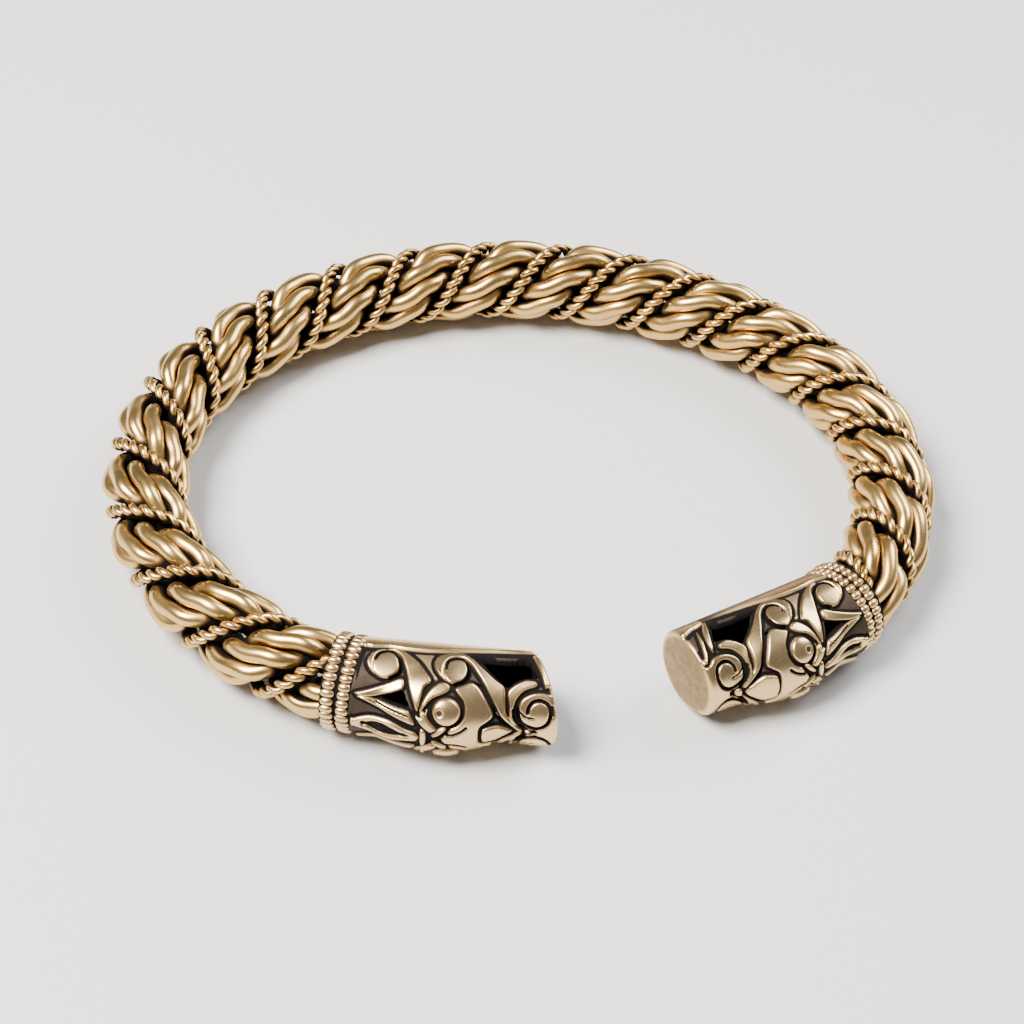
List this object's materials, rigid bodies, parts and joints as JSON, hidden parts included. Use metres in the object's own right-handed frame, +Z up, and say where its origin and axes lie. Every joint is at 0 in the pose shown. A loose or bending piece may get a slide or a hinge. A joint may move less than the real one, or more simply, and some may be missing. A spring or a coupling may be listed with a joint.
{
  "type": "viking arm ring",
  "caption": "Open oval arm ring of twisted wire rope with fine twisted wires in its grooves and a hollow cast beast head on each end, lying on its side.",
  "frame": {"origin": "on the surface the ring lies on, under the middle of its bounding box", "axes": "+X along the oval's long axis, towards the right head; the gap between the heads faces -Y; +Z up, along the way a wrist goes through"},
  "size_m": [0.0777, 0.0651, 0.0086],
  "materials": {
    "wire": "polished bronze wire, dark in the hollows",
    "fine_wire": "polished fine twisted bronze wire, dark in the hollows",
    "cast_head": "satin cast bronze, blackened between the raised scrolls"
  },
  "bodies": {
    "root": {"strand_1": "wire", "strand_2": "wire", "fine_wire_1": "fine_wire", "fine_wire_2": "fine_wire", "head_left": "cast_head", "head_right": "cast_head"}
  },
  "joints": []
}
